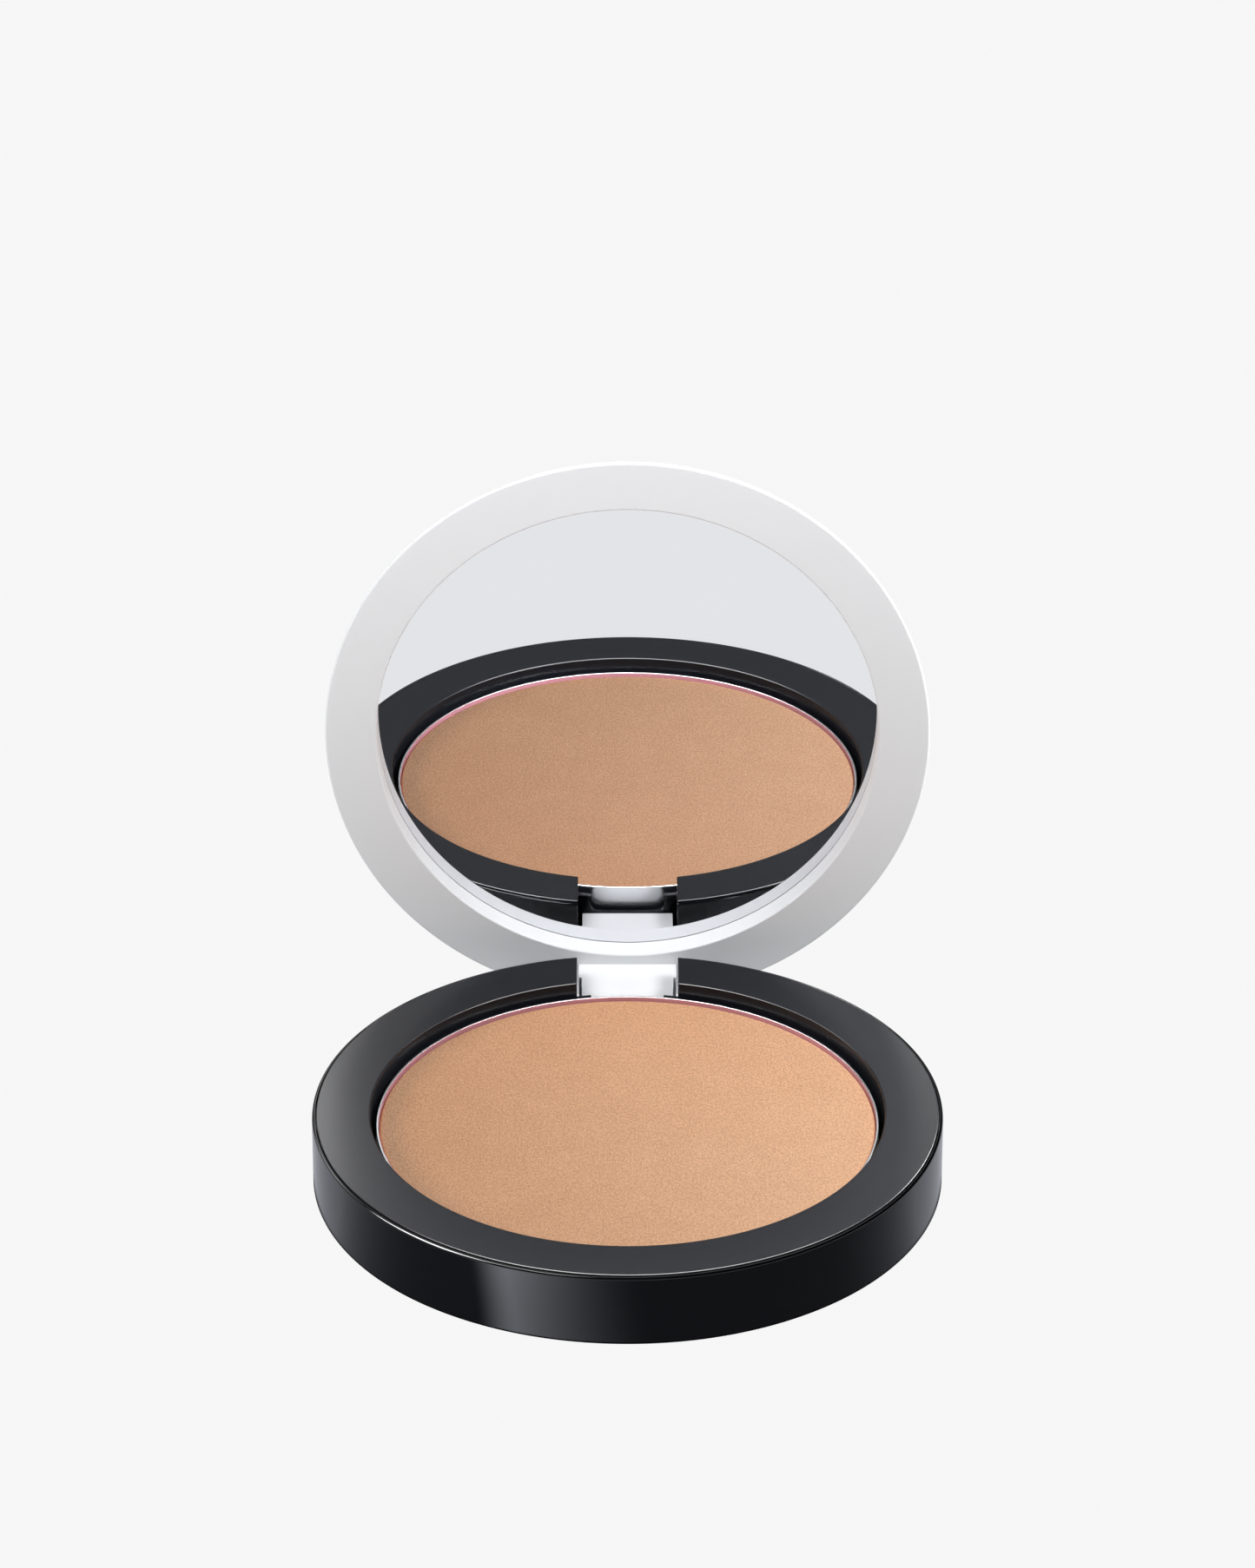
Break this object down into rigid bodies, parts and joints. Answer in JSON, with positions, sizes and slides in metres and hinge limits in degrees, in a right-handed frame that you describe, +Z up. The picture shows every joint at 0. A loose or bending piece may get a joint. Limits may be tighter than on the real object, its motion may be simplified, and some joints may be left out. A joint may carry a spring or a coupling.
{
  "type": "powder compact",
  "caption": "Round pressed-powder compact with a mirror in its hinged lid, standing open at a right angle.",
  "frame": {"origin": "on the axis of the round base, at the surface that the base stands on", "axes": "+Z up; +Y from the front of the base to the hinge; +X to the right seen from the front; the lid closes with a positive turn about +X"},
  "size_m": [0.074, 0.0834, 0.0741],
  "materials": {
    "gloss_black": "polished black moulding",
    "satin_black": "fine satin black moulding",
    "satin_white": "satin white moulding",
    "pan_metal": "bright pressed sheet",
    "powder": "pressed powder with a cloth-pressed surface",
    "adhesive": "double-sided tape",
    "pin_steel": "drawn wire",
    "magnet_nickel": "nickel-plated disc magnet",
    "label_paper": "blank satin label",
    "mirror_silver": "silvered glass"
  },
  "bodies": {
    "base": {"base_shell": "gloss_black", "base_tray": "satin_black", "powder_pan": "pan_metal", "pressed_powder": "powder", "pan_adhesive": "adhesive", "hinge_pin": "pin_steel", "base_magnet": "magnet_nickel", "base_label": "label_paper"},
    "lid": {"lid_frame": "satin_white", "lid_cover": "satin_white", "mirror": "mirror_silver", "mirror_adhesive": "adhesive", "lid_magnet": "magnet_nickel"}
  },
  "joints": [
    {"name": "lid_hinge", "type": "hinge", "parent": "base", "child": "lid", "pos_m": [0, 0.03405, 0.00345], "axis": [1, 0, 0], "range_deg": [0, 90]}
  ]
}
